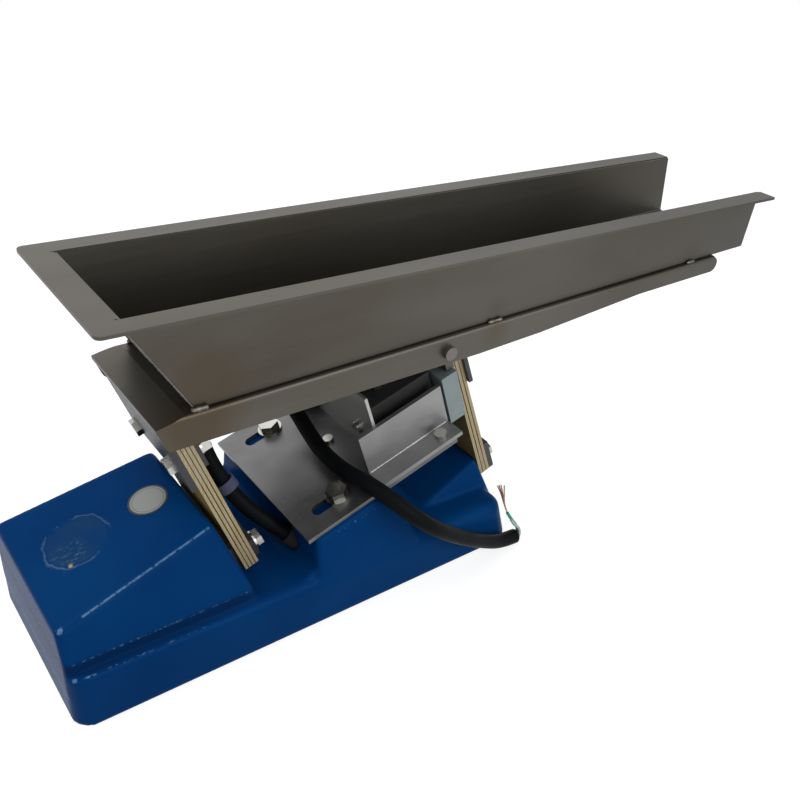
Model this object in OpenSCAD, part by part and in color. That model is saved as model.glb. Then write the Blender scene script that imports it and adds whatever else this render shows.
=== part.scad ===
// Linear vibratory feeder: a cast base, two packs of inclined leaf springs,
// an electromagnet on the base, and an open trough on a sheet-steel carrier.
// X runs along the feed towards the open end, Y across, Z up.
// The origin is the centre of the casting's underside.

/* [Base casting] */
// Length of the casting
base_l = 315; // [290:1:340]
// Width of the casting at the floor
base_w = 136; // [130:1:150]
// Height of the plinth
plinth_h = 38.5; // [34:0.5:40]
// Plan radius of the plinth's vertical corners
corner_r = 12; // [8:1:20]
// Radius of the plinth's top edges
edge_r = 4; // [2:0.5:6]
// Lean of the plinth's open end between its foot and its top
end_draft = 5; // [2:0.5:7]
// Width of the rear block at its foot
block_w = 124; // [116:1:128]
// Height of the rear block's foot
block_foot_z = 46; // [44:1:50]
// Draft of the rear block's sides in degrees
block_draft = 22.7; // [15:0.1:26]
// Fall of the rear block's top towards the rear in degrees
block_slope = 14.7; // [8:0.1:18]
// Height of the rear block's top at its front edge
block_h = 90.6; // [84:0.1:96]
// Radius of the rear block's edges
block_r = 4; // [3:0.5:7]
// Place of the saddle's rear wall along the casting
saddle_x = 0; // [-3:0.5:3]
// Width of the saddle at its top
saddle_w = 128; // [124:1:134]
// Radius of the saddle's edges
saddle_r = 3.5; // [2:0.5:5]
// Radius of the hollow at the foot of the saddle's rear wall
valley_r = 9; // [5:1:14]
// Width of the front spring seat at its top
seat_w = 82; // [80:1:92]
// Height of the front spring seat
seat_h = 57; // [52:1:60]
// Bore for the magnet's lead in the saddle
lead_bore_d = 14; // [13:0.5:18]

/* [Leaf springs] */
// Lean of the springs from the vertical in degrees
tilt = 20.5; // [17:0.1:22]
// Width of the leaves
leaf_w = 80; // [70:1:82]
// Thickness of one rear leaf
rear_leaf_t = 1.9; // [1.6:0.05:2.1]
// Thickness of one front leaf
front_leaf_t = 2.3; // [2.1:0.05:2.6]
// Thickness of the shims between rear leaves
rear_shim_t = 0.6; // [0.5:0.05:0.8]
// Thickness of the shims between front leaves
front_shim_t = 0.7; // [0.5:0.05:0.9]
// Place of the rear pack's back face at the seat height
rear_spring_x = -43.4; // [-46:0.1:-42]
// Place of the front pack's back face at the seat height
front_spring_x = 146.4; // [144:0.1:148]
// Length of the rear leaves above the seat height
rear_leaf_top = 96; // [90:1:100]
// Length of the front leaves above the seat height
front_leaf_top = 106; // [102:1:108]
// Spacing of each pair of upper clamp bolts
bolt_gap = 46; // [40:1:48]
// Spacing of each pair of lower clamp bolts
low_gap = 58; // [52:1:60]
// Height of the rear pack's upper bolts above the seat height
rear_bolt_n = 72; // [70:0.5:76]
// Height of the front pack's upper bolts above the seat height
front_bolt_n = 82; // [80:0.5:84]

/* [Electromagnet] */
// Slope of the saddle and of the magnet in degrees
slope = 18; // [16:0.1:19]
// Length of the mounting plate
plate_l = 118; // [112:1:120]
// Width of the mounting plate
plate_w = 122; // [116:1:126]
// Thickness of the mounting plate
plate_t = 3; // [2:0.5:4]
// Length of the plate's adjusting slots
slot_l = 28; // [24:1:32]
// Length of the magnet angles
angle_l = 65; // [60:1:66]
// Height of the magnet angles
angle_h = 34; // [30:1:38]
// Distance between the outer faces of the two angles
angle_gap = 92; // [90:1:96]
// Width of the core
core_w = 70; // [66:1:76]
// Height of the core
core_h = 40; // [36:1:42]
// Height of the coil's top above the plate
coil_h = 58.5; // [54:0.5:60]
// Air gap between the core and the armature
air_gap = 2; // [1.8:0.1:2.4]
// Thickness of the armature
armature_t = 12.4; // [9:0.1:12.8]
// Height of the armature
armature_h = 39; // [34:1:39.5]
// Width of the armature
armature_w = 92; // [84:1:92]

/* [Trough and carrier] */
// Length of the trough over its flange
tray_l = 520; // [500:1:540]
// Width of the trough over its flanges
tray_w = 118; // [114:1:126]
// Width of the side flanges
flange_w = 12; // [10:0.5:14]
// Width of the rear flange
rear_flange_w = 14.5; // [12:0.5:17]
// Width of the trough's floor
floor_w = 85; // [80:1:90]
// Height of the trough's floor above the feet
floor_z = 170.5; // [170:0.5:176]
// Height of the rear flange above the feet
rim_z = 236.2; // [228:0.1:244]
// Fall of the flange towards the open end in degrees
rim_fall = 2.2; // [1:0.1:3]
// Lean of the rear wall from the vertical in degrees
end_lean = 31.3; // [28:0.1:33]
// Thickness of the trough's sheet
tray_t = 2; // [1.5:0.1:2.5]
// Overhang of the rear flange behind the casting's centre
tray_back = 117.5; // [112:0.5:122]
// Width of the carrier
carrier_w = 92; // [91:0.5:94]
// Thickness of the carrier's sheet
carrier_t = 3; // [2.5:0.1:3.5]
// Droop of the carrier's rear end in degrees
droop = 11; // [6:0.5:13]
// Reach of the carrier towards the open end
carrier_end = 369; // [350:1:376]

/* [Lead] */
// Diameter of the lead
cord_d = 10.6; // [9:0.1:11]

/* [Hidden] */
$fn = 48;
seat_z = 60;
leaf_foot = -19;
low_bolt_n = -12;
rear_leaves = 4;
front_leaves = 3;
rear_pitch = rear_leaf_t + rear_shim_t;
front_pitch = front_leaf_t + front_shim_t;
rear_pack_t = rear_leaves * rear_leaf_t + (rear_leaves - 1) * rear_shim_t;
front_pack_t = front_leaves * front_leaf_t + (front_leaves - 1) * front_shim_t;
spacer_t = 3.6;
clamp_t = 4;
back_shim_t = 1;
cross_t = 3;
clamp_h = 22;
bolt_d = 6;
clear_d = bolt_d + 0.6;
tapped_d = bolt_d + 0.08;
head_af = 10;
head_h = 4;
nut_h = 5;
washer_d = 12;
washer_t = 1.6;
plate_bolt_d = 8;
plate_bolt_af = 12.6;
plate_bolt_h = 5.3;
side_bolt_d = 4;
side_head_d = 9;
side_head_h = 3.6;
side_bolt_n = 108;
lip_half = 40;
plate_x = -4.8;
plate_z = 65.9;
plate_bolt_e = 34;
plate_bolt_y = 44;
slot_e = 14;
slot_d = 8.5;
angle_e = 58;
angle_t = 3;
angle_screw_e = 53;
back_h = 57;
core_e = 73;
pole_e = angle_e + angle_l;
back_t = 2;
leg_w = 11;
slot_w = 13;
screw_d = 5;
blue = [0.02, 0.24, 0.46];
steel = [0.42, 0.42, 0.4];
stainless = [0.36, 0.35, 0.33];
dark = [0.16, 0.16, 0.17];
tan_leaf = [0.62, 0.56, 0.44];
silver = [0.72, 0.72, 0.72];
zinc = [0.62, 0.68, 0.7];
black = [0.05, 0.05, 0.05];

function arc(cx, cz, r, a0, a1, n) =
  [for (i = [0:n]) [cx + r * cos(a0 + (a1 - a0) * i / n), cz + r * sin(a0 + (a1 - a0) * i / n)]];

// A point of the rear pack's frame in the XZ plane: e along the stroke, n up the leaf
function rear_pt(e, n) =
  [rear_spring_x + e * cos(tilt) - n * sin(tilt), seat_z + e * sin(tilt) + n * cos(tilt)];

// Lays a profile drawn in X and Z across the feeder, centred on Y
module across(w) {
  rotate([90, 0, 0])
    linear_extrude(height = w, center = true)
      children();
}

module rear_frame() {
  translate([rear_spring_x, 0, seat_z])
    rotate([0, -tilt, 0])
      children();
}

module front_frame() {
  translate([front_spring_x, 0, seat_z])
    rotate([0, -tilt, 0])
      children();
}

module magnet_frame() {
  translate([plate_x, 0, plate_z])
    rotate([0, -slope, 0])
      children();
}

module tray_frame() {
  translate([-tray_back, 0, rim_z])
    rotate([0, rim_fall, 0])
      children();
}

// A block from e0 to e1 along the stroke, w across, from n0 to n1 up
module slab(e0, e1, w, n0, n1) {
  translate([e0, -w / 2, n0])
    cube([e1 - e0, w, n1 - n0]);
}

// A rod along the stroke at height n and place y
module rod(e0, e1, y, n, d) {
  translate([e0, y, n])
    rotate([0, 90, 0])
      cylinder(d = d, h = e1 - e0);
}

// A hexagon along the stroke, turned a little so that no two look alike
module hex(e0, e1, y, n, af, turn = 0) {
  translate([e0, y, n])
    rotate([0, 90, 0])
      rotate([0, 0, turn])
        cylinder(d = af / cos(30), h = e1 - e0, $fn = 6);
}

module post(r, h, e) {
  rotate_extrude($fn = 32)
    polygon(concat([[0, 0], [r, 0]], arc(r - e, h - e, e, 0, 90, 5), [[0, h]]));
}

// ---------- Base casting ----------

seat_back_x = rear_spring_x - spacer_t / cos(tilt);
rear_x = -base_l / 2;

function block_face_x(z) = seat_back_x - (z - seat_z) * tan(tilt);
function block_y(z, r) =
  block_w / 2 - (z - block_foot_z) * tan(block_draft) - r / cos(block_draft);
function block_z(x, r) =
  block_h + (x - block_face_x(block_h)) * tan(block_slope) - r / cos(block_slope);
function block_front_z(r) =
  (block_z(block_face_x(seat_z) - r / cos(tilt), r) + seat_z * tan(tilt) * tan(block_slope))
  / (1 + tan(tilt) * tan(block_slope));

module plinth() {
  skin = 0.2;
  hull()
    for (sx = [-1, 1], sy = [-1, 1])
      if (sx < 0)
        translate([skin - base_l / 2 + corner_r, sy * (base_w / 2 - corner_r), 0])
          post(corner_r, plinth_h, edge_r);
      else
        front_post(sy);
}

// The open end falls a little towards its top edge and leans outwards at the foot
module front_post(sy) {
  foot_h = 4;
  x = base_l / 2 - corner_r;
  y = sy * (base_w / 2 - corner_r);
  translate([x - end_draft / 2, y, 0])
    post(corner_r, plinth_h - 2.5, 2 * edge_r);
  translate([x + end_draft, y, 0])
    cylinder(r = corner_r, h = foot_h, $fn = 32);
}

module rear_block() {
  r = block_r;
  zf = block_front_z(r);
  xf = block_face_x(zf) - r / cos(tilt);
  xr = rear_x + r;
  zr = block_z(xr, r);
  low = 20;
  hull()
    for (s = [-1, 1]) {
      translate([xf, s * block_y(zf, r), zf])
        sphere(r = r, $fn = 16);
      translate([xr, s * block_y(zr, r), zr])
        sphere(r = r, $fn = 16);
      translate([xr, s * block_y(block_foot_z, r), low])
        cylinder(r = r, h = block_foot_z - low, $fn = 16);
      translate([block_face_x(low) - r / cos(tilt), s * block_y(block_foot_z, r), low])
        sphere(r = r, $fn = 16);
      translate([block_face_x(block_foot_z) - r / cos(tilt), s * block_y(block_foot_z, r), block_foot_z])
        sphere(r = r, $fn = 16);
    }
}

module saddle() {
  r = saddle_r;
  n = -plate_t - r;
  e_rear = (saddle_x + r - plate_x + n * sin(slope)) / cos(slope);
  e_front = 60 - r;
  foot_y = base_w / 2 - 0.4 - r;
  foot_z = plinth_h - r;
  hull()
    for (s = [-1, 1]) {
      for (e = [e_rear, e_front])
        magnet_frame()
          translate([e, s * (saddle_w / 2 - r), n])
            sphere(r = r, $fn = 16);
      for (x = [saddle_x + r, 79 - r])
        translate([x, s * foot_y, foot_z])
          sphere(r = r, $fn = 16);
      translate([saddle_x + r, s * foot_y, 12])
        sphere(r = r, $fn = 16);
    }
}

module valley_fillet() {
  bite = 0.4;
  x = saddle_x - valley_r + bite;
  z = plinth_h + valley_r - bite;
  across(base_w - 9)
    polygon(concat(arc(x, z, valley_r, -83, -7, 6), [[saddle_x + 4, z], [saddle_x + 4, plinth_h - 4], [x, plinth_h - 4]]));
}

module front_seat() {
  r = 3;
  face = front_spring_x;
  low = 20;
  hull()
    for (s = [-1, 1]) {
      for (z = [low, seat_h - r])
        translate([face - (z - seat_z) * tan(tilt) - r / cos(tilt), s * (seat_w / 2 + (z < seat_z / 2 ? 9 : 0) - r), z])
          sphere(r = r, $fn = 16);
      translate([99 + r, s * (seat_w / 2 + 3 - r), plinth_h - r])
        sphere(r = r, $fn = 16);
    }
}

module base_casting() {
  bore_l = 16;
  color(blue)
    difference() {
      union() {
        plinth();
        rear_block();
        saddle();
        valley_fillet();
        front_seat();
      }
      for (s = [-1, 1]) {
        rear_frame()
          rod(-spacer_t - bore_l, 2, s * low_gap / 2, low_bolt_n, tapped_d);
        front_frame()
          rod(-bore_l, 2, s * low_gap / 2, low_bolt_n, tapped_d);
        magnet_frame()
          translate([plate_bolt_e, s * plate_bolt_y, -plate_t - 20])
            cylinder(d = plate_bolt_d + 0.08, h = 22);
      }
      lead_place()
        cylinder(d = lead_bore_d, h = 60, center = true);
    }
}

module inspection_label() {
  x = -79;
  color(silver)
    translate([x, 3, block_z(x, 0)])
      rotate([0, -block_slope, 0])
        cylinder(r = 12.5, h = 0.3);
}

// ---------- Leaf springs and clamps ----------

module leaf(e, t, top, upper_n) {
  color(tan_leaf)
    difference() {
      slab(e, e + t, leaf_w, leaf_foot, top);
      for (s = [-1, 1]) {
        rod(e - 1, e + t + 1, s * low_gap / 2, low_bolt_n, clear_d);
        rod(e - 1, e + t + 1, s * bolt_gap / 2, upper_n, clear_d);
      }
    }
}

module rear_leaf(i) {
  rear_frame()
    leaf(i * rear_pitch, rear_leaf_t, rear_leaf_top, rear_bolt_n);
}

module front_leaf(i) {
  front_frame()
    leaf(i * front_pitch, front_leaf_t, front_leaf_top, front_bolt_n);
}

// A drilled plate for one pair of clamp bolts
module drilled(e0, e1, w, n0, n1, n, gap = bolt_gap) {
  difference() {
    slab(e0, e1, w, n0, n1);
    for (s = [-1, 1])
      rod(e0 - 1, e1 + 1, s * gap / 2, n, clear_d);
  }
}

module rear_seat_spacer() {
  color(steel)
    rear_frame()
      drilled(-spacer_t, 0, leaf_w - 8, leaf_foot, 0, low_bolt_n, low_gap);
}

module rear_lower_shims() {
  color(dark)
    rear_frame()
      for (i = [1:rear_leaves - 1])
        drilled(i * rear_pitch - rear_shim_t, i * rear_pitch, leaf_w, leaf_foot, 2, low_bolt_n, low_gap);
}

module rear_upper_shims() {
  color(dark)
    rear_frame() {
      for (i = [1:rear_leaves - 1])
        drilled(i * rear_pitch - rear_shim_t, i * rear_pitch, leaf_w, rear_bolt_n - 12, rear_leaf_top, rear_bolt_n);
      drilled(-back_shim_t, 0, leaf_w, rear_bolt_n - 12, rear_leaf_top, rear_bolt_n);
    }
}

module front_lower_shims() {
  color(dark)
    front_frame()
      for (i = [1:front_leaves - 1])
        drilled(i * front_pitch - front_shim_t, i * front_pitch, leaf_w, leaf_foot, 2, low_bolt_n, low_gap);
}

module front_upper_shims() {
  color(dark)
    front_frame()
      for (i = [1:front_leaves - 1])
        drilled(i * front_pitch - front_shim_t, i * front_pitch, leaf_w, front_bolt_n - 10, front_leaf_top, front_bolt_n);
}

module rear_lower_clamp() {
  color(dark)
    rear_frame()
      drilled(rear_pack_t, rear_pack_t + clamp_t, leaf_w - 8, leaf_foot + 1, leaf_foot + clamp_h - 7, low_bolt_n, low_gap);
}

module rear_upper_clamp() {
  color(dark)
    rear_frame()
      drilled(rear_pack_t, rear_pack_t + clamp_t, leaf_w - 20, rear_bolt_n - 10, rear_bolt_n + 14, rear_bolt_n);
}

module front_lower_clamp() {
  color(dark)
    front_frame()
      drilled(front_pack_t, front_pack_t + clamp_t, leaf_w, leaf_foot, leaf_foot + clamp_h + 3, low_bolt_n, low_gap);
}

// A hexagon bolt whose head sits at e and whose shank runs back to tip
module bolt(e, tip, y, n, turn) {
  rod(tip, e, y, n, bolt_d);
  hex(e, e + head_h, y, n, head_af, turn);
}

module base_clamp_bolts() {
  color(steel)
    for (s = [-1, 1]) {
      rear_frame()
        bolt(rear_pack_t + clamp_t + washer_t, -spacer_t - 15, s * low_gap / 2, low_bolt_n, 8 * s);
      front_frame()
        bolt(front_pack_t + clamp_t + washer_t, -15, s * low_gap / 2, low_bolt_n, 11 * s + 4);
    }
}

module washer(e, y, n) {
  difference() {
    rod(e, e + washer_t, y, n, washer_d);
    rod(e - 1, e + washer_t + 1, y, n, bolt_d + 0.4);
  }
}

module base_clamp_washers() {
  color(steel)
    for (s = [-1, 1]) {
      rear_frame()
        washer(rear_pack_t + clamp_t, s * low_gap / 2, low_bolt_n);
      front_frame()
        washer(front_pack_t + clamp_t, s * low_gap / 2, low_bolt_n);
    }
}

module rear_upper_bolts() {
  lip = back_shim_t + carrier_t;
  tip = rear_pack_t + clamp_t + washer_t + nut_h + 1;
  color(steel)
    rear_frame()
      for (s = [-1, 1]) {
        rod(-lip - 1, tip, s * bolt_gap / 2, rear_bolt_n, bolt_d);
        hex(-lip - head_h, -lip, s * bolt_gap / 2, rear_bolt_n, head_af, 12 + 9 * s);
      }
}

module rear_upper_nuts() {
  e = rear_pack_t + clamp_t + washer_t;
  color(steel)
    rear_frame()
      for (s = [-1, 1])
        difference() {
          hex(e, e + nut_h, s * bolt_gap / 2, rear_bolt_n, head_af, 15 * s);
          rod(e - 1, e + nut_h + 1, s * bolt_gap / 2, rear_bolt_n, tapped_d);
        }
}

module front_upper_bolts() {
  color(steel)
    front_frame()
      for (s = [-1, 1])
        bolt(front_pack_t + cross_t + washer_t, -9, s * bolt_gap / 2, front_bolt_n, 7 * s);
}

module carrier_washers() {
  color(steel)
    for (s = [-1, 1]) {
      rear_frame()
        washer(rear_pack_t + clamp_t, s * bolt_gap / 2, rear_bolt_n);
      front_frame()
        washer(front_pack_t + cross_t, s * bolt_gap / 2, front_bolt_n);
    }
}

// ---------- Carrier ----------

lip_e = -back_shim_t - carrier_t;
bend_x = -71;
droop_l = 17.8;
skirt_z = floor_z - 19.2;
rear_edge = [bend_x - droop_l * cos(droop), floor_z - droop_l * sin(droop)];

module drooped() {
  translate([bend_x, 0, floor_z])
    rotate([0, -droop, 0])
      children();
}

module web() {
  under = [carrier_t * sin(droop), -carrier_t * cos(droop)];
  across(carrier_w)
    polygon([[carrier_end - 3, floor_z], [bend_x, floor_z], rear_edge, rear_edge + under,
      [bend_x + carrier_t * tan(droop / 2), floor_z - carrier_t], [carrier_end - 3, floor_z - carrier_t]]);
}

module skirt() {
  in_web = 1;
  corner = 5;
  across(carrier_t)
    polygon(concat(
      [[carrier_end - 6, floor_z - in_web], [bend_x, floor_z - in_web], rear_edge + [0.3, -in_web]],
      arc(rear_edge[0] + 9.3, skirt_z + corner, corner, 200.5, 270, 6),
      [[133, skirt_z], [186, skirt_z + 1.4], [283, skirt_z + 7.2], [carrier_end - 6, skirt_z + 7.2]],
      arc(carrier_end - 6, skirt_z + 13.2, 6, -90, 78, 8)));
}

module side_bolt_axis(s) {
  front_frame()
    translate([-3, 0, side_bolt_n])
      rotate([-90 * s, 0, 0])
        children();
}

module carrier() {
  edge = 2.5;
  color(stainless)
    difference() {
      union() {
        web();
        for (s = [-1, 1])
          translate([0, s * (carrier_w - carrier_t) / 2, 0])
            skirt();
      }
      for (s = [-1, 1]) {
        translate([-120, s * (carrier_w / 2 - edge), floor_z - edge])
          rotate([90, 0, 90])
            linear_extrude(height = 520)
              difference() {
                translate([s > 0 ? 0 : -edge - 1, 0])
                  square(edge + 1);
                circle(r = edge);
              }
        side_bolt_axis(s)
          translate([0, 0, carrier_w / 2 - carrier_t - 1])
            cylinder(d = side_bolt_d + 0.4, h = carrier_t + 2);
      }
    }
}

// The plate under the carrier's rear end that the rear springs are clamped to
module rear_lip() {
  color(dark)
    difference() {
      rear_frame()
        drilled(lip_e, lip_e + carrier_t, 2 * lip_half, rear_bolt_n - 12, 130, rear_bolt_n);
      drooped()
        translate([-60, -100, -carrier_t])
          cube([60.5, 200, 60]);
      translate([bend_x, -100, floor_z - carrier_t])
        cube([60, 200, 60]);
    }
}

module carrier_side_bolts() {
  color(steel)
    for (s = [-1, 1])
      side_bolt_axis(s) {
        translate([0, 0, carrier_w / 2 - carrier_t - 14])
          cylinder(d = side_bolt_d, h = carrier_t + 14);
        translate([0, 0, carrier_w / 2])
          cylinder(d = side_head_d, h = side_head_h);
      }
}

module front_cross_plate() {
  color(dark)
    difference() {
      front_frame()
        drilled(front_pack_t, front_pack_t + cross_t, carrier_w - 2 * carrier_t, front_bolt_n - 12, 120, front_bolt_n);
      translate([0, -100, floor_z - carrier_t])
        cube([300, 200, 60]);
    }
}

module front_seat_bar() {
  color(stainless)
    difference() {
      front_frame()
        slab(-6, 0, carrier_w - 2 * carrier_t, front_bolt_n + 9, 120);
      translate([0, -100, floor_z - carrier_t])
        cube([300, 200, 60]);
      for (s = [-1, 1])
        side_bolt_axis(s)
          translate([0, 0, carrier_w / 2 - carrier_t - 15])
            cylinder(d = side_bolt_d + 0.08, h = 20);
    }
}

// ---------- Trough ----------

wall_k = 0.069;
flange_corner = 4;
front_x = tray_l * cos(rim_fall) - tray_back;
open_x = front_x - 1;

function wall_y(z) = floor_w / 2 + (z - floor_z) * wall_k;
function rim_at(x) = rim_z - (x + tray_back) * tan(rim_fall);

module above_rim() {
  tray_frame()
    translate([-50, -100, -0.5])
      cube([tray_l + 100, 200, 60]);
}

// Everything behind the rear wall's outer face
module behind_end() {
  translate([rear_flange_w - tray_back, 0, rim_z])
    rotate([0, -end_lean, 0])
      translate([-200, -100, -150])
        cube([200, 200, 220]);
}

module trough_section(inset) {
  top = rim_z + 5;
  r = 1.2;
  low = floor_z + inset;
  y = wall_y(low + r) - inset;
  bend = concat(arc(y - r, low + r, r, -90, 0, 5), [[wall_y(top) - inset, top]]);
  polygon(concat(bend, [for (i = [len(bend) - 1:-1:0]) [-bend[i][0], bend[i][1]]]));
}

module trough_shell() {
  translate([-tray_back, 0, 0])
    rotate([90, 0, 90])
      linear_extrude(height = open_x + tray_back)
        difference() {
          trough_section(0);
          trough_section(tray_t);
        }
}

module tray_trough() {
  lap = 1.5;
  color(stainless) {
    difference() {
      trough_shell();
      above_rim();
      behind_end();
    }
    tray_frame()
      for (s = [-1, 1])
        translate([rear_flange_w, s > 0 ? tray_w / 2 - flange_w - lap : -tray_w / 2, -tray_t])
          cube([tray_l - rear_flange_w, flange_w + lap, tray_t]);
  }
}

module tray_rear_end() {
  lap = 1.5;
  in_wall = wall_y(rim_z) - tray_t - 0.3;
  color(stainless) {
    difference() {
      intersection() {
        translate([rear_flange_w - tray_back, 0, rim_z])
          rotate([0, -end_lean, 0])
            translate([0, -80, -120])
              cube([tray_t, 160, 160]);
        translate([-tray_back, 0, 0])
          rotate([90, 0, 90])
            linear_extrude(height = 120)
              trough_section(tray_t);
      }
      above_rim();
    }
    tray_frame()
      translate([0, 0, -tray_t])
        linear_extrude(height = tray_t)
          polygon(concat(arc(flange_corner, flange_corner - tray_w / 2, flange_corner, 270, 180, 6),
            arc(flange_corner, tray_w / 2 - flange_corner, flange_corner, 180, 90, 6),
            [[rear_flange_w, tray_w / 2], [rear_flange_w, in_wall], [rear_flange_w + lap, in_wall],
              [rear_flange_w + lap, -in_wall], [rear_flange_w, -in_wall], [rear_flange_w, -tray_w / 2]]));
  }
}

// ---------- Electromagnet ----------

module slot(e0, y) {
  run = slot_l - slot_d;
  translate([e0 + slot_d / 2, y, -plate_t - 1]) {
    cylinder(d = slot_d, h = plate_t + 2);
    translate([run, 0, 0])
      cylinder(d = slot_d, h = plate_t + 2);
    translate([0, -slot_d / 2, 0])
      cube([run, slot_d, plate_t + 2]);
  }
}

module magnet_plate() {
  notch_w = core_w - 2 * leg_w + 1;
  color(silver)
    magnet_frame()
      difference() {
        slab(0, plate_l, plate_w, -plate_t, 0);
        for (s = [-1, 1]) {
          slot(slot_e, s * plate_bolt_y);
          translate([angle_e + angle_screw_e, s * (angle_gap / 2 + 8), -plate_t - 1])
            cylinder(d = screw_d + 0.4, h = plate_t + 2);
        }
        slab(core_e + 13.5, plate_l + 1, notch_w, -plate_t - 1, 1);
        translate([plate_bolt_e + 23, 3, -plate_t - 1])
          cylinder(d = 4.1, h = plate_t + 2);
      }
}

module plate_bolts() {
  color(steel)
    magnet_frame()
      for (s = [-1, 1])
        translate([plate_bolt_e, s * plate_bolt_y, 0]) {
          translate([0, 0, -plate_t - 18])
            cylinder(d = plate_bolt_d, h = plate_t + 18 + washer_t);
          translate([0, 0, washer_t])
            rotate([0, 0, 20 * s])
              cylinder(d = plate_bolt_af / cos(30), h = plate_bolt_h, $fn = 6);
        }
}

module plate_washers() {
  color(silver)
    magnet_frame()
      for (s = [-1, 1])
        translate([plate_bolt_e, s * plate_bolt_y, 0])
          difference() {
            cylinder(d = 16.8, h = washer_t);
            translate([0, 0, -1])
              cylinder(d = plate_bolt_d + 0.4, h = washer_t + 2);
          }
}

module magnet_angle(s) {
  color(silver)
    magnet_frame()
      difference() {
        union() {
          translate([angle_e, s > 0 ? angle_gap / 2 - angle_t : -angle_gap / 2, 0])
            cube([angle_l, angle_t, angle_h]);
          translate([angle_e, s > 0 ? angle_gap / 2 - angle_t : -plate_w / 2, 0])
            cube([angle_l, (plate_w - angle_gap) / 2 + angle_t, angle_t]);
        }
        translate([angle_e + angle_screw_e, s * (angle_gap / 2 + 8), -1])
          cylinder(d = screw_d + 0.4, h = angle_t + 2);
      }
}

module angle_screws() {
  color(steel)
    magnet_frame()
      for (s = [-1, 1])
        translate([angle_e + angle_screw_e, s * (angle_gap / 2 + 8), 0]) {
          translate([0, 0, -plate_t - 2])
            cylinder(d = screw_d, h = plate_t + 2 + angle_t);
          translate([0, 0, angle_t])
            cylinder(d = 8.4, h = 3);
        }
}

module magnet_back_plate() {
  color(dark)
    magnet_frame()
      difference() {
        slab(core_e - back_t, core_e, angle_gap - 2 * angle_t, 0, back_h);
        for (s = [-1, 1])
          rod(core_e - back_t - 1, core_e + 1, s * 22, core_h / 2, screw_d + 0.4);
      }
}

module back_screws() {
  color(silver)
    magnet_frame()
      for (s = [-1, 1]) {
        rod(core_e - back_t - 3, core_e - back_t, s * 22, core_h / 2, 9);
        rod(core_e - back_t, core_e + 10, s * 22, core_h / 2, screw_d);
      }
}

module small_screw() {
  color(steel)
    magnet_frame()
      translate([plate_bolt_e + 23, 3, 0]) {
        translate([0, 0, -plate_t])
          cylinder(d = 4, h = plate_t);
        cylinder(d = 7, h = 2.4);
      }
}

module magnet_core() {
  color(dark)
    magnet_frame()
      difference() {
        slab(core_e, pole_e, core_w, 0, core_h);
        for (s = [-1, 1])
          translate([core_e + 15, s > 0 ? leg_w : -leg_w - slot_w, -1])
            cube([angle_l, slot_w, core_h + 2]);
        for (s = [-1, 1])
          rod(core_e - 1, core_e + 11, s * 22, core_h / 2, screw_d + 0.06);
      }
}

module ring_section(w, h, r) {
  square([w, h - 2 * r], center = true);
  square([w - 2 * r, h], center = true);
  for (sx = [-1, 1], sy = [-1, 1])
    translate([sx * (w / 2 - r), sy * (h / 2 - r)])
      circle(r = r);
}

module coil() {
  slack = 0.4;
  rise = coil_h - core_h;
  color(black)
    magnet_frame()
      translate([core_e + 15 + slack, 0, core_h / 2])
        rotate([90, 0, 90])
          linear_extrude(height = pole_e - core_e - 21)
            difference() {
              ring_section(2 * (leg_w + slot_w - slack), core_h + 2 * rise, 9);
              square([2 * (leg_w + slack), core_h + 2 * slack], center = true);
            }
}

module armature() {
  color(zinc)
    difference() {
      magnet_frame()
        slab(pole_e + air_gap, pole_e + air_gap + armature_t, armature_w, -1.5, armature_h - 1.5);
      front_frame()
        for (s = [-1, 1])
          rod(-10, 5, s * bolt_gap / 2, front_bolt_n, tapped_d);
    }
}

// Fills the narrow wedge between the armature and the spring pack
module armature_wedge() {
  color(steel)
    difference() {
      front_frame()
        drilled(-4, 0, leaf_w, front_bolt_n - 8, front_bolt_n + 7, front_bolt_n);
      magnet_frame()
        slab(pole_e - 10, pole_e + air_gap + armature_t, 200, -20, 100);
    }
}

// ---------- Lead ----------

lead_spot = [2, -32, 45];
lead_dip = 126;
lead_turn = -35;

cord_route = [[8.6, -36.6, 39], [2, -32, 45], [-8, -25, 54], [-18, -17.5, 63.5], [-26.5, -10, 74.5],
  [-33, -4, 87], [-38, 1, 100], [-40.5, 7, 113], [-39, 16, 125], [-32.5, 28, 134], [-21, 40, 139],
  [-5, 48.5, 138], [11, 50.5, 131.5], [24, 46, 121], [32, 35.5, 110.5], [35, 22, 101.5],
  [35.5, 7, 94], [35, -9, 89.6], [35.5, -25, 88], [37.5, -41, 88.2], [41.5, -57, 88.6],
  [48, -71, 84.2], [58, -82, 74.5], [71, -86.5, 62.5], [91, -85, 45.5], [115, -81, 27.5],
  [137, -77.5, 13.5], [149, -76, 8.4], [160.5, -75, 6]];
green_route = [[162.4, -74.6, 7.6], [163.4, -74.2, 10.8], [161.8, -73.6, 15], [157, -73, 22],
  [152.6, -72.4, 29]];
copper_route = [[152.4, -72.3, 29.4], [148.6, -72, 39], [146, -71.8, 48], [143, -71.8, 57]];
pale_route = [[162.6, -77.4, 6.5], [163.4, -77, 9.5], [162.2, -76.4, 13.8], [158, -75.8, 18.5],
  [154.8, -75.2, 23.5]];

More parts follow.
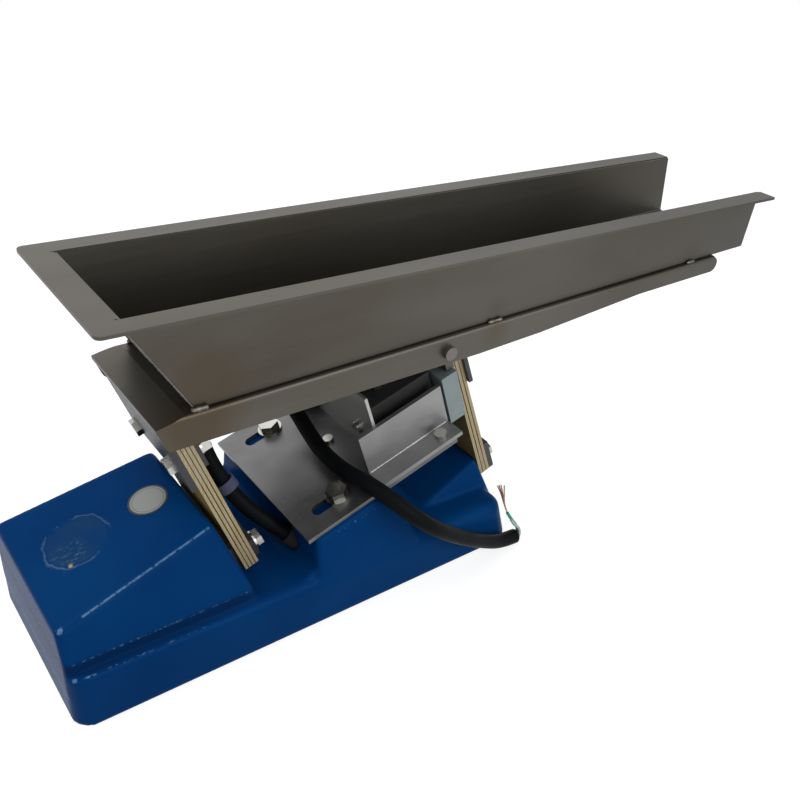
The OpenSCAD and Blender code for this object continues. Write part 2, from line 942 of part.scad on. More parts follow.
function unit(v) = v / norm(v);
function tangent(p, i) = unit(p[min(i + 1, len(p) - 1)] - p[max(i - 1, 0)]);
function curve_pt(a, b, c, d, t) =
  0.5 * (2 * b + (c - a) * t + (2 * a - 5 * b + 4 * c - d) * t * t + (3 * b - a - 3 * c + d) * t * t * t);
function curve(p, m) =
  concat(
    [for (i = [0:len(p) - 2], k = [0:m - 1])
      curve_pt(p[max(i - 1, 0)], p[i], p[i + 1], p[min(i + 2, len(p) - 1)], k / m)],
    [p[len(p) - 1]]);
function sides(p, i, u) =
  let (t = tangent(p, i), v = unit(u - t * (u * t)))
  i == len(p) - 1 ? [v] : concat([v], sides(p, i + 1, v));

module tube(route, d, m, n) {
  p = curve(route, m);
  u = sides(p, 0, [0, 1, 0.3]);
  rings = [for (i = [0:len(p) - 1], k = [0:n - 1])
    p[i] + d / 2 * (cos(360 * k / n) * u[i] + sin(360 * k / n) * cross(tangent(p, i), u[i]))];
  walls = [for (i = [0:len(p) - 2], k = [0:n - 1])
    [i * n + k, i * n + (k + 1) % n, (i + 1) * n + (k + 1) % n, (i + 1) * n + k]];
  polyhedron(points = rings, faces = concat([for (w = walls) [w[3], w[2], w[1], w[0]]],
    [[for (k = [0:n - 1]) k]], [[for (k = [n - 1:-1:0]) (len(p) - 1) * n + k]]));
}

module lead_place() {
  translate(lead_spot)
    rotate([0, lead_dip, lead_turn])
      children();
}

module lead_grommet() {
  color(black)
    lead_place()
      difference() {
        translate([0, 0, -6])
          cylinder(d = lead_bore_d - 0.1, h = 11);
        translate([0, 0, -7])
          cylinder(d = cord_d + 0.8, h = 13);
      }
}

module power_cord() {
  color(black)
    tube(cord_route, cord_d, 2, 12);
}

module cord_sleeve() {
  a = cord_route[4];
  b = cord_route[5];
  d = unit(b - a);
  color([0.3, 0.3, 0.36])
    translate(a + 0.5 * (b - a))
      rotate([0, acos(d[2]), atan2(d[1], d[0])])
        difference() {
          cylinder(d = cord_d + 3.6, h = 7);
          translate([0, 0, -1])
            cylinder(d = cord_d + 1.2, h = 9);
        }
}

module wire_green() {
  color([0.15, 0.5, 0.3])
    tube(green_route, 2.4, 2, 8);
}

module wire_copper() {
  color([0.55, 0.25, 0.15])
    tube(copper_route, 2.6, 2, 8);
}

module wire_pale() {
  color([0.8, 0.8, 0.75])
    tube(pale_route, 2.2, 2, 8);
}

base_casting();
inspection_label();
rear_leaf(0);  // rear_leaf_1
rear_leaf(1);  // rear_leaf_2
rear_leaf(2);  // rear_leaf_3
rear_leaf(3);  // rear_leaf_4
front_leaf(0);  // front_leaf_1
front_leaf(1);  // front_leaf_2
front_leaf(2);  // front_leaf_3
rear_seat_spacer();
rear_lower_shims();
rear_upper_shims();
front_lower_shims();
front_upper_shims();
rear_lower_clamp();
rear_upper_clamp();
front_lower_clamp();
base_clamp_bolts();
base_clamp_washers();
rear_upper_bolts();
rear_upper_nuts();
front_upper_bolts();
carrier_washers();
carrier();
rear_lip();
carrier_side_bolts();
front_cross_plate();
front_seat_bar();
tray_trough();
tray_rear_end();
magnet_plate();
plate_bolts();
plate_washers();
magnet_back_plate();
magnet_angle(-1);  // near_magnet_angle
magnet_angle(1);  // far_magnet_angle
angle_screws();
back_screws();
small_screw();
magnet_core();
coil();
armature();
armature_wedge();
lead_grommet();
power_cord();
cord_sleeve();
wire_green();
wire_copper();
wire_pale();
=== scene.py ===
import math
import bpy
import bmesh
from mathutils import Matrix, Vector, noise

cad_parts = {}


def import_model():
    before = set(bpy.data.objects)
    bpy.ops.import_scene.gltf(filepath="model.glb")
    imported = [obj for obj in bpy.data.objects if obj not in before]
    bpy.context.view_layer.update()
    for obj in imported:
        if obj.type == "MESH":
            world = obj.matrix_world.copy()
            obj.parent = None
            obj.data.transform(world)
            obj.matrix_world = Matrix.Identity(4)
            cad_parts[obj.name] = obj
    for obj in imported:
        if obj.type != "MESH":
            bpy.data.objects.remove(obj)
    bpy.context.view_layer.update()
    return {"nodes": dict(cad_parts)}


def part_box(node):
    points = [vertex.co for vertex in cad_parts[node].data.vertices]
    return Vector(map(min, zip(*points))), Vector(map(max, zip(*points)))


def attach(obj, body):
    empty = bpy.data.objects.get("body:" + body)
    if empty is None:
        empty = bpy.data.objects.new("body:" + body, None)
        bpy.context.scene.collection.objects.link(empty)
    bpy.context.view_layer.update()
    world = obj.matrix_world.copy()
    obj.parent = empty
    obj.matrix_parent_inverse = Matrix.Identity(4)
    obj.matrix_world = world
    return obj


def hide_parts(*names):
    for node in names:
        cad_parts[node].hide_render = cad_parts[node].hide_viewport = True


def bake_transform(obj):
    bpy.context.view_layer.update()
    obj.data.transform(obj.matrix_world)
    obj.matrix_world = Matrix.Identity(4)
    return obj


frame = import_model()
nodes = frame["nodes"]
scene = bpy.context.scene
scene.view_settings.view_transform = "Standard"

# Blender works in metres. Places and sizes written here in millimetres are multiplied by MM.
MM = 0.001
SPRING_TILT = math.radians(20.5)   # the leaf springs lean back from upright
PLATE_SLOPE = math.radians(18)     # the magnet's plate rises towards +X
BLOCK_SLOPE = math.radians(14.7)   # the top of the rear block rises towards +X

# ---------- Camera ----------

CAMERA_PLACE = (-0.23665, -0.44099, 0.45007)
CAMERA_AZIMUTH = math.radians(-37.83)
CAMERA_DIP = math.radians(32.15)
CAMERA_ROLL = math.radians(3.94)
CAMERA_LENS = 42.69
CAMERA_SENSOR = 36
CAMERA_NEAR = 0.02
CAMERA_FAR = 30


def make_camera():
    across = math.cos(CAMERA_DIP)
    forward = Vector((math.sin(-CAMERA_AZIMUTH) * across, math.cos(CAMERA_AZIMUTH) * across,
                      -math.sin(CAMERA_DIP)))
    level = forward.cross(Vector((0, 0, 1))).normalized()
    upright = level.cross(forward)
    right = math.cos(CAMERA_ROLL) * level + math.sin(CAMERA_ROLL) * upright
    up = -math.sin(CAMERA_ROLL) * level + math.cos(CAMERA_ROLL) * upright
    data = bpy.data.cameras.new("camera")
    data.lens = CAMERA_LENS
    data.sensor_width = CAMERA_SENSOR
    data.clip_start = CAMERA_NEAR
    data.clip_end = CAMERA_FAR
    camera = bpy.data.objects.new("camera", data)
    pose = Matrix((right, up, -forward)).transposed().to_4x4()
    pose.translation = Vector(CAMERA_PLACE)
    camera.matrix_world = pose
    scene.collection.objects.link(camera)
    scene.camera = camera


make_camera()

# ---------- Cord and its cut wires ----------

CORD_D = 10.6 * MM
CORD_FIT = 0.995        # the tube stays just inside the CAD cord
GREEN_RADIUS = 1.15 * MM
PALE_RADIUS = 1.05 * MM
STRAND_RADIUS = 0.42 * MM
STRAND_FLARE = 0.45
STRAND_DROOP = 0.9
CURVE_STEPS = 4         # points on the curve for each point of a route

# The routes repeat the points of the CAD cord and wires, in mm.
CORD_ROUTE = [
    (8.6, -36.6, 39), (2, -32, 45), (-8, -25, 54), (-18, -17.5, 63.5), (-26.5, -10, 74.5),
    (-33, -4, 87), (-38, 1, 100), (-40.5, 7, 113), (-39, 16, 125), (-32.5, 28, 134), (-21, 40, 139),
    (-5, 48.5, 138), (11, 50.5, 131.5), (24, 46, 121), (32, 35.5, 110.5), (35, 22, 101.5),
    (35.5, 7, 94), (35, -9, 89.6), (35.5, -25, 88), (37.5, -41, 88.2), (41.5, -57, 88.6),
    (48, -71, 84.2), (58, -82, 74.5), (71, -86.5, 62.5), (91, -85, 45.5), (115, -81, 27.5),
    (137, -77.5, 13.5), (149, -76, 8.4), (160.5, -75, 6)]
GREEN_ROUTE = [(162.4, -74.6, 7.6), (163.4, -74.2, 10.8), (161.8, -73.6, 15), (157, -73, 22),
               (152.6, -72.4, 29)]
COPPER_ROUTE = [(152.4, -72.3, 29.4), (148.6, -72, 39), (146, -71.8, 48), (143, -71.8, 57)]
PALE_ROUTE = [(162.6, -77.4, 6.5), (163.4, -77, 9.5), (162.2, -76.4, 13.8), (158, -75.8, 18.5),
              (154.8, -75.2, 23.5)]
# Which way each copper strand leaves the others, along X and Y.
STRANDS = [(0, 0), (0.5, -0.3), (-0.5, 0.3), (0.2, 0.6), (-0.2, -0.6)]


def curve_points(route):
    """A smooth curve through every point of a route in mm, as points in metres."""
    p = [Vector(q) * MM for q in route]
    out = []
    for i in range(len(p) - 1):
        a, b, c, d = p[max(i - 1, 0)], p[i], p[i + 1], p[min(i + 2, len(p) - 1)]
        for k in range(CURVE_STEPS):
            t = k / CURVE_STEPS
            out.append(0.5 * (2 * b + (c - a) * t + (2 * a - 5 * b + 4 * c - d) * t * t
                              + (3 * b - a - 3 * c + d) * t ** 3))
    out.append(p[-1])
    return out


def strand_route(u, v):
    """The copper route for one strand, which spreads and droops more the further it goes."""
    return [(x + u * k * k * STRAND_FLARE, y + v * k * k * STRAND_FLARE,
             z - abs(u + v) * k * STRAND_DROOP)
            for k, (x, y, z) in enumerate(COPPER_ROUTE)]


def tube(name, points, radius, body, node=None):
    """A round tube along points, riding a body, which may replace a CAD node."""
    curve = bpy.data.curves.new(name, "CURVE")
    curve.dimensions = "3D"
    curve.bevel_depth = 1.0     # each point's own radius is the tube's real one
    curve.bevel_resolution = 6
    curve.use_fill_caps = True
    spline = curve.splines.new("POLY")
    spline.points.add(len(points) - 1)
    for q, v in zip(spline.points, points):
        q.co = (v.x, v.y, v.z, 1)
        q.radius = radius
    spline.use_smooth = True
    obj = bpy.data.objects.new(name, curve)
    scene.collection.objects.link(obj)
    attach(obj, body)
    if node:
        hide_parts(node)
    return obj


cord_pts = curve_points(CORD_ROUTE)
cord = tube("lead_cable", cord_pts, CORD_D / 2 * CORD_FIT, "base", "power_cord")
green = tube("lead_core_green", curve_points(GREEN_ROUTE), GREEN_RADIUS, "base", "wire_green")
copper = [tube("lead_strand_%d" % i, curve_points(strand_route(u, v)), STRAND_RADIUS,
               "base", "wire_copper")
          for i, (u, v) in enumerate(STRANDS)]
pale = tube("lead_core_pale", curve_points(PALE_ROUTE), PALE_RADIUS, "base", "wire_pale")

# ---------- Material helpers ----------

NOISE_LOW, NOISE_HIGH = 0.3, 0.7    # nearly all of a noise lies between these
LINE_CORE = 0.3                     # the share of a line's half width that is fully covered


def new_mat(name):
    """A material, its node tree and its shader."""
    mat = bpy.data.materials.new(name)
    mat.use_nodes = True
    tree = mat.node_tree
    return mat, tree, tree.nodes["Principled BSDF"]


def feed(tree, socket, value):
    """Links a socket to another one, or sets it to a fixed value."""
    if isinstance(value, bpy.types.NodeSocket):
        tree.links.new(value, socket)
    else:
        socket.default_value = value


def scaled(colour, factor):
    """A colour times one factor, or times one each for red, green and blue."""
    factors = factor if isinstance(factor, tuple) else (factor,) * 3
    return tuple(c * k for c, k in zip(colour, factors))


def object_place(tree):
    return tree.nodes.new("ShaderNodeTexCoord").outputs["Object"]


def coords(tree, scale=(1, 1, 1), turn=(0, 0, 0)):
    """The place on the object, turned and scaled."""
    node = tree.nodes.new("ShaderNodeMapping")
    node.inputs["Scale"].default_value = scale
    node.inputs["Rotation"].default_value = turn
    tree.links.new(object_place(tree), node.inputs["Vector"])
    return node.outputs["Vector"]


def part_of(tree, vector, axis):
    """The X, Y or Z of a vector."""
    node = tree.nodes.new("ShaderNodeSeparateXYZ")
    tree.links.new(vector, node.inputs[0])
    return node.outputs[axis]


def noise_tex(tree, scale, detail, rough, turn=(0, 0, 0)):
    """Noise of about scale spots to the metre, with one scale for all axes or one for each."""
    scales = scale if isinstance(scale, tuple) else (scale,) * 3
    vector = coords(tree, scales, turn)
    node = tree.nodes.new("ShaderNodeTexNoise")
    node.inputs["Scale"].default_value = 1.0
    node.inputs["Detail"].default_value = detail
    node.inputs["Roughness"].default_value = rough
    tree.links.new(vector, node.inputs["Vector"])
    return node.outputs["Fac"]


def ramp(tree, value, stops):
    """A colour from a value, by stops of a place from 0 to 1 and its colour."""
    node = tree.nodes.new("ShaderNodeValToRGB")
    elements = node.color_ramp.elements
    while len(elements) < len(stops):
        elements.new(0.5)
    for element, (place, colour) in zip(elements, stops):
        element.position = place
        element.color = (*colour, 1)
    tree.links.new(value, node.inputs["Fac"])
    return node.outputs["Color"]


def remap(tree, value, start, end, low=0.0, high=1.0):
    """Runs from low to high while a value goes from start to end, and stays there beyond them."""
    node = tree.nodes.new("ShaderNodeMapRange")
    for name, number in zip(("From Min", "From Max", "To Min", "To Max"), (start, end, low, high)):
        node.inputs[name].default_value = number
    tree.links.new(value, node.inputs["Value"])
    return node.outputs["Result"]


def stretch(tree, noise_value, low, high):
    """Spreads a noise's usual range over low to high."""
    return remap(tree, noise_value, NOISE_LOW, NOISE_HIGH, low, high)


def mix(tree, share, first, second, blend="MIX"):
    """Blends two colours, each a socket or a fixed colour, by a share from 0 to 1."""
    node = tree.nodes.new("ShaderNodeMix")
    node.data_type = "RGBA"
    node.blend_type = blend
    feed(tree, node.inputs["Factor"], share)
    for socket, colour in ((node.inputs[6], first), (node.inputs[7], second)):
        feed(tree, socket, (*colour, 1) if isinstance(colour, tuple) else colour)
    return node.outputs[2]


def math_node(tree, operation, first, second=0.0):
    node = tree.nodes.new("ShaderNodeMath")
    node.operation = operation
    feed(tree, node.inputs[0], first)
    feed(tree, node.inputs[1], second)
    return node.outputs[0]


def vector_node(tree, operation, first, second=None):
    node = tree.nodes.new("ShaderNodeVectorMath")
    node.operation = operation
    feed(tree, node.inputs[0], first)
    if second is not None:
        feed(tree, node.inputs[1], second)
    return node


def bump(tree, shader, height, strength, distance):
    node = tree.nodes.new("ShaderNodeBump")
    node.inputs["Strength"].default_value = strength
    node.inputs["Distance"].default_value = distance
    tree.links.new(height, node.inputs["Height"])
    tree.links.new(node.outputs["Normal"], shader.inputs["Normal"])


def set_surface(tree, shader, colour, rough):
    feed(tree, shader.inputs["Base Color"], colour)
    feed(tree, shader.inputs["Roughness"], rough)


def distance_to(tree, point, wobble=None):
    """The distance in metres to a point in mm, made uneven by a wobble."""
    away = vector_node(tree, "DISTANCE", object_place(tree), [c * MM for c in point]).outputs["Value"]
    return away if wobble is None else math_node(tree, "ADD", away, wobble)


def near_point(tree, point, far, near, wobble=None):
    """1 within near of a point and 0 beyond far, all in mm, with an uneven rim."""
    return remap(tree, distance_to(tree, point, wobble), far * MM, near * MM)


def near_line(tree, start, end, half_width):
    """1 along a straight line between two points and 0 beyond half_width, all in mm."""
    a, b = Vector(start) * MM, Vector(end) * MM
    from_start = vector_node(tree, "SUBTRACT", object_place(tree), a).outputs["Vector"]
    along = vector_node(tree, "DOT_PRODUCT", from_start, (b - a) / (b - a).length_squared)
    foot = vector_node(tree, "SCALE", b - a)
    tree.links.new(remap(tree, along.outputs["Value"], 0.0, 1.0), foot.inputs["Scale"])
    away = vector_node(tree, "DISTANCE", from_start, foot.outputs["Vector"])
    return remap(tree, away.outputs["Value"], half_width * MM, half_width * LINE_CORE * MM)


# ---------- Metals ----------

SHEET_METALLIC = 0.85
SHEET_ROUGH = 0.42
TINT_CORE = 0.35        # the share of a heat tint's reach that is fully tinted
# Painted shade: the sheet is painted darker towards its +X end, where less light falls.
PAINTED_SHADE_START, PAINTED_SHADE_END = 0.16, 0.37     # the sheet darkens between these X, towards its +X end

# Heat tints round the welds: place and reach in mm, then depth from 0 to 1.
TRAY_TINTS = [((-58, -46, 186), 26, 0.5), ((145, -46, 178), 14, 0.35), ((338, -46, 178), 12, 0.35)]
CARRIER_TINTS = [((-66, -46, 163), 34, 0.75), ((145, -46, 165), 18, 0.4)]


def stainless(name, tone, tints):
    """Brushed sheet with a long grain, broad tonal bands, brown heat tint round its welds and painted
    shade towards its +X end.
    """
    mat, tree, shader = new_mat(name)
    grain = noise_tex(tree, (9, 900, 900), detail=3, rough=0.6)
    bands = noise_tex(tree, (5, 14, 14), detail=3, rough=0.5)
    spots = noise_tex(tree, 70, detail=5, rough=0.7)
    dark = scaled(tone, (0.72, 0.67, 0.58))
    light = scaled(tone, 1.3)
    colour = ramp(tree, bands, [(0.3, dark), (0.55, tone), (0.8, light)])
    colour = mix(tree, remap(tree, grain, 0.35, 0.65, 0.0, 0.16), colour, light)
    colour = mix(tree, remap(tree, spots, 0.6, 0.85, 0.0, 0.35), colour, scaled(tone, (0.6, 0.55, 0.45)))
    wobble = stretch(tree, bands, -8 * MM, 8 * MM)
    for point, reach, depth in tints:
        heat = near_point(tree, point, reach, reach * TINT_CORE, wobble)
        heat = math_node(tree, "MULTIPLY", heat, depth)
        colour = mix(tree, heat, colour, scaled(tone, (0.72, 0.55, 0.36)))
    # painted shade: darker towards the +X end
    painted_shade = remap(tree, part_of(tree, coords(tree), "X"), PAINTED_SHADE_START, PAINTED_SHADE_END, 0.0, 0.45)
    colour = mix(tree, painted_shade, colour, scaled(tone, 0.45))
    set_surface(tree, shader, colour, stretch(tree, grain, SHEET_ROUGH - 0.02, SHEET_ROUGH + 0.03))
    shader.inputs["Metallic"].default_value = SHEET_METALLIC
    bump(tree, shader, grain, strength=0.008, distance=0.2 * MM)
    return mat


def plain_metal(name, tone, metallic, rough, grain=400, variation=0.25, relief=0.1, patch=40):
    """Metal with a fine grain and broader patches that are darker and lighter by a variation."""
    mat, tree, shader = new_mat(name)
    fine = noise_tex(tree, grain, detail=4, rough=0.6)
    patches = noise_tex(tree, patch, detail=3, rough=0.5)
    colour = ramp(tree, patches, [(0.3, scaled(tone, 1 - variation)), (0.7, scaled(tone, 1 + variation))])
    colour = mix(tree, remap(tree, fine, 0.4, 0.7, 0.0, 0.4), colour, scaled(tone, 1.25))
    set_surface(tree, shader, colour, stretch(tree, fine, rough - 0.06, rough + 0.1))
    shader.inputs["Metallic"].default_value = metallic
    if relief:
        bump(tree, shader, fine, strength=relief, distance=0.3 * MM)
    return mat


BRUSHED = (30, 700, 700)    # a grain drawn out along X
STACKED = (60, 60, 1800)    # thin layers one above the other

mat_tray = stainless("tray_steel", (0.085, 0.0785, 0.067), TRAY_TINTS)
mat_carrier = stainless("carrier_steel", (0.095, 0.088, 0.076), CARRIER_TINTS)
mat_steel = plain_metal("fastener_zinc", (0.46, 0.455, 0.42), metallic=1.0, rough=0.2,
                        grain=60, variation=0.08, relief=0.0)
mat_dull = plain_metal("dull_bolt", (0.16, 0.15, 0.135), metallic=0.8, rough=0.42,
                       grain=150, variation=0.2, relief=0.05)
mat_weld = plain_metal("weld_bead", (0.12, 0.112, 0.098), metallic=0.9, rough=0.34,
                       grain=500, variation=0.3, relief=0.3)
mat_dark = plain_metal("dark_plate", (0.045, 0.045, 0.048), metallic=0.6, rough=0.45)
mat_alu = plain_metal("aluminium_sheet", (0.24, 0.24, 0.24), metallic=0.85, rough=0.42,
                      grain=BRUSHED, variation=0.14, relief=0.08)
# A brighter copy of the aluminium, a painted highlight along the near angle's fold.
mat_fold_highlight = plain_metal("fold_highlight_metal", (0.42, 0.42, 0.42), metallic=0.9, rough=0.4,
                       grain=900, variation=0.4, relief=0.3)
mat_back = plain_metal("magnet_back", (0.4, 0.4, 0.385), metallic=0.8, rough=0.4,
                       grain=BRUSHED, variation=0.1, relief=0.05)
mat_plate = plain_metal("aluminium_plate", (0.15, 0.15, 0.152), metallic=0.85, rough=0.36,
                        grain=BRUSHED, variation=0.55, relief=0.05, patch=13)
mat_zinc = plain_metal("zinc_block", (0.19, 0.23, 0.232), metallic=0.4, rough=0.5,
                       grain=250, variation=0.12, relief=0.2)
mat_core = plain_metal("core_lamination", (0.04, 0.04, 0.038), metallic=0.5, rough=0.5,
                       grain=STACKED, variation=0.2, relief=0.3)

# ---------- Blue enamel ----------

ENAMEL_DARK = (0.0008, 0.031, 0.125)
ENAMEL_LIGHT = (0.0014, 0.042, 0.155)
# The next colour is painted shade for the groove round the rear block.
GROOVE_SHADE_COLOUR = (0.0003, 0.008, 0.04)
# The next colour is pale rubbed paint, and also a painted highlight along the edges.
RUBBED_AND_HIGHLIGHT = (0.16, 0.3, 0.46)

# Painted shade in the groove round the rear block, in mm: heights where the shade starts, is full, still
# is full and ends, and the X up to which it is full and the X where it ends.
GROOVE_LOW, GROOVE_LOW_FULL = 36.5, 39
GROOVE_HIGH_FULL, GROOVE_HIGH = 44.5, 47.5
GROOVE_FULL_X, GROOVE_END_X = -50, -30
GROOVE_SHADE_STRENGTH = 0.62

# Lines of rubbed paint that also carry a painted highlight along the edges of the block, plinth and
# saddle: start, end and half width in mm, then the speckle's range and the strength.
RUBBED_AND_HIGHLIGHT_LINES = [
    ((-141, -51.8, 68), (-61.5, -43.2, 88.7), 0.9, (0.36, 0.54), 0.6),
    ((-153, -61.9, 45.9), (-44, -61.9, 45.9), 0.9, (0.5, 0.62), 0.42),
    ((-153, -66.2, 37.6), (-47, -66.2, 37.6), 1.0, (0.54, 0.64), 0.6),
    ((-3, -64.6, 62), (44, -64.6, 74), 1.2, (0.55, 0.65), 0.5)]
# Chips at the corners: place and size in mm.
CHIPS = [((-154.2, -52.2, 65), 1.9), ((-153.5, -63.5, 36.5), 1.6)]
CHIP_STRENGTH = 0.55
# Sharp edges get both rubbed paint and a painted highlight.
SHARP_START, SHARP_END = 0.535, 0.57    # how pointed an edge is where rubbing starts and is full

# What is left of an earlier sticker: places in mm.
GLUE_MIDDLE = (-124.3, 3.3, 73.5)
GLUE_KEPT = (-140.5, -6, 69.2)      # the ring is whole round here, and broken elsewhere
SCUFF_MIDDLE = (-131.5, -5, 71.6)
YELLOW_CHIP = (-133.6, -13, 71)
GLUE_INNER, GLUE_OUTER = 16, 24         # mm from the middle: the ring lies between these
HAZE_FULL, HAZE_END = 17.5, 19.5        # mm from the middle
HAZE = (0.03, 0.07, 0.1)
GLUE = (0.2, 0.3, 0.36)
SCUFF = (0.14, 0.19, 0.19)
YELLOW = (0.4, 0.3, 0.17)


def groove_painted_shade(tree):
    """Where the groove between the rear block and the plinth is painted dark, as painted shade."""
    place = coords(tree)
    height = part_of(tree, place, "Z")
    along = part_of(tree, place, "X")
    low_side = remap(tree, height, GROOVE_LOW * MM, GROOVE_LOW_FULL * MM)
    high_side = remap(tree, height, GROOVE_HIGH * MM, GROOVE_HIGH_FULL * MM)
    rearward = remap(tree, along, GROOVE_END_X * MM, GROOVE_FULL_X * MM, 0.0, GROOVE_SHADE_STRENGTH)
    groove_shade = math_node(tree, "MULTIPLY", low_side, high_side)
    return math_node(tree, "MULTIPLY", groove_shade, rearward)


def rubbed_paint_and_highlights(tree):
    """Pale rubbed paint and painted highlights on sharp edges and along thin lines, and chips at the
    corners.
    """
    speck = noise_tex(tree, 420, detail=3, rough=0.7)
    geometry = tree.nodes.new("ShaderNodeNewGeometry")
    sharp = remap(tree, geometry.outputs["Pointiness"], SHARP_START, SHARP_END)
    rubbed_and_highlight = math_node(tree, "MULTIPLY", sharp, remap(tree, speck, 0.6, 0.66, 0.0, 0.6))
    for start, end, half_width, (low, high), strength in RUBBED_AND_HIGHLIGHT_LINES:
        line = math_node(tree, "MULTIPLY", near_line(tree, start, end, half_width),
                         remap(tree, speck, low, high, 0.0, strength))
        rubbed_and_highlight = math_node(tree, "MAXIMUM", rubbed_and_highlight, line)
    wobble = stretch(tree, speck, -1 * MM, 1 * MM)
    for point, size in CHIPS:
        chip = near_point(tree, point, size, size * 0.5, wobble)
        chip = math_node(tree, "MULTIPLY", chip, CHIP_STRENGTH)
        rubbed_and_highlight = math_node(tree, "MAXIMUM", rubbed_and_highlight, chip)
    return rubbed_and_highlight


def old_glue(tree, colour, patchy):
    """Adds the haze, the broken ring of glue, the scuffs and the yellow chip of an earlier sticker."""
    wobble = stretch(tree, noise_tex(tree, 90, detail=3, rough=0.6), -1.5 * MM, 1.5 * MM)
    away = distance_to(tree, GLUE_MIDDLE, wobble)
    ring = ramp(tree, remap(tree, away, GLUE_INNER * MM, GLUE_OUTER * MM), [
        (0.42, (0, 0, 0)), (0.47, (1, 1, 1)), (0.52, (0.1, 0.1, 0.1)), (0.58, (0.6, 0.6, 0.6)),
        (0.62, (0, 0, 0))])
    kept = near_point(tree, GLUE_KEPT, far=24, near=12, wobble=stretch(tree, patchy, -6 * MM, 6 * MM))
    kept = math_node(tree, "MAXIMUM", remap(tree, patchy, 0.46, 0.54, 0.0, 0.75), kept)
    ring = math_node(tree, "MULTIPLY", mix(tree, 1.0, ring, kept, "MULTIPLY"), 0.5)
    scratches = noise_tex(tree, (260, 420, 260), detail=6, rough=0.8, turn=(0, 0, 0.5))
    scuffs = math_node(tree, "MULTIPLY", near_point(tree, SCUFF_MIDDLE, far=15, near=5, wobble=wobble),
                       remap(tree, scratches, 0.53, 0.64, 0.0, 0.6))
    haze = math_node(tree, "MULTIPLY", remap(tree, away, HAZE_END * MM, HAZE_FULL * MM),
                     remap(tree, patchy, 0.35, 0.7, 0.08, 0.34))
    colour = mix(tree, haze, colour, HAZE)
    colour = mix(tree, ring, colour, GLUE)
    colour = mix(tree, scuffs, colour, SCUFF)
    return mix(tree, near_point(tree, YELLOW_CHIP, far=1.6, near=0.8), colour, YELLOW)


def blue_paint():
    """Sprayed enamel with rubbed edges and painted edge highlights, painted shade in the groove and an
    old sticker's ring of glue.
    """
    mat, tree, shader = new_mat("blue_enamel")
    broad = noise_tex(tree, 12, detail=3, rough=0.5)
    peel = noise_tex(tree, 60, detail=2, rough=0.5)
    fine = noise_tex(tree, 600, detail=3, rough=0.6)
    patchy = noise_tex(tree, 38, detail=5, rough=0.7)
    colour = ramp(tree, broad, [(0.3, ENAMEL_DARK), (0.7, ENAMEL_LIGHT)])
    # painted shade in the groove
    colour = mix(tree, groove_painted_shade(tree), colour, GROOVE_SHADE_COLOUR)
    # rubbed paint and painted highlights on the edges
    colour = mix(tree, rubbed_paint_and_highlights(tree), colour, RUBBED_AND_HIGHLIGHT)
    colour = old_glue(tree, colour, patchy)
    set_surface(tree, shader, colour, stretch(tree, fine, 0.26, 0.34))
    shader.inputs["Specular IOR Level"].default_value = 0.016
    height = math_node(tree, "ADD", peel, math_node(tree, "MULTIPLY", fine, 0.03))
    bump(tree, shader, height, strength=0.06, distance=0.6 * MM)
    return mat


# ---------- Laminate, rubber, tape and sticker ----------

PLIES = [(0.3, (0.30, 0.22, 0.10)), (0.5, (0.38, 0.295, 0.16)), (0.75, (0.47, 0.39, 0.24))]
WEAVE = (0.40, 0.33, 0.19)
STAIN = (0.33, 0.27, 0.14)
RESIN_DARK = (0.19, 0.135, 0.035)
RESIN_LIGHT = (0.26, 0.19, 0.055)

LABEL_RADIUS = 12.5 * MM
FOIL = (0.24, 0.255, 0.24)
PRINT = (0.06, 0.08, 0.08)
RIM = (0.012, 0.02, 0.03)
# The sticker's rings, from its middle at 0 to its edge at 1.
RINGS = [(0.0, FOIL), (0.76, FOIL), (0.79, PRINT), (0.82, FOIL), (0.88, FOIL), (0.91, RIM), (1.0, RIM)]


def leaf_mat():
    """Glass-fibre laminate: plies along the narrow edges, golden brown resin on the wide faces."""
    mat, tree, shader = new_mat("leaf_laminate")
    tilt = (0, SPRING_TILT, 0)
    plies = noise_tex(tree, (2600, 12, 30), detail=2, rough=0.5, turn=tilt)
    weave = noise_tex(tree, (30, 900, 900), detail=3, rough=0.6, turn=tilt)
    broad = noise_tex(tree, 25, detail=3, rough=0.5)
    edge = ramp(tree, plies, PLIES)
    edge = mix(tree, remap(tree, weave, 0.4, 0.7, 0.0, 0.35), edge, WEAVE)
    edge = mix(tree, remap(tree, broad, 0.45, 0.75, 0.0, 0.3), edge, STAIN)
    face = mix(tree, stretch(tree, broad, 0.0, 1.0), RESIN_DARK, RESIN_LIGHT)
    geometry = tree.nodes.new("ShaderNodeNewGeometry")
    sideways = math_node(tree, "ABSOLUTE", part_of(tree, geometry.outputs["True Normal"], "Y"))
    set_surface(tree, shader, mix(tree, remap(tree, sideways, 0.3, 0.6), face, edge), rough=0.45)
    bump(tree, shader, weave, strength=0.15, distance=0.2 * MM)
    return mat


def rubber(name, tone=(0.004, 0.0044, 0.005), rough=0.42):
    """Rubber or soft plastic with a fine skin and a patchy sheen."""
    mat, tree, shader = new_mat(name)
    fine = noise_tex(tree, 700, detail=4, rough=0.6)
    broad = noise_tex(tree, 45, detail=3, rough=0.6)
    colour = ramp(tree, broad, [(0.3, tone), (0.75, scaled(tone, 1.8))])
    set_surface(tree, shader, colour, stretch(tree, broad, rough - 0.08, rough + 0.14))
    shader.inputs["Specular IOR Level"].default_value = 0.03
    bump(tree, shader, fine, strength=0.2, distance=0.2 * MM)
    return mat


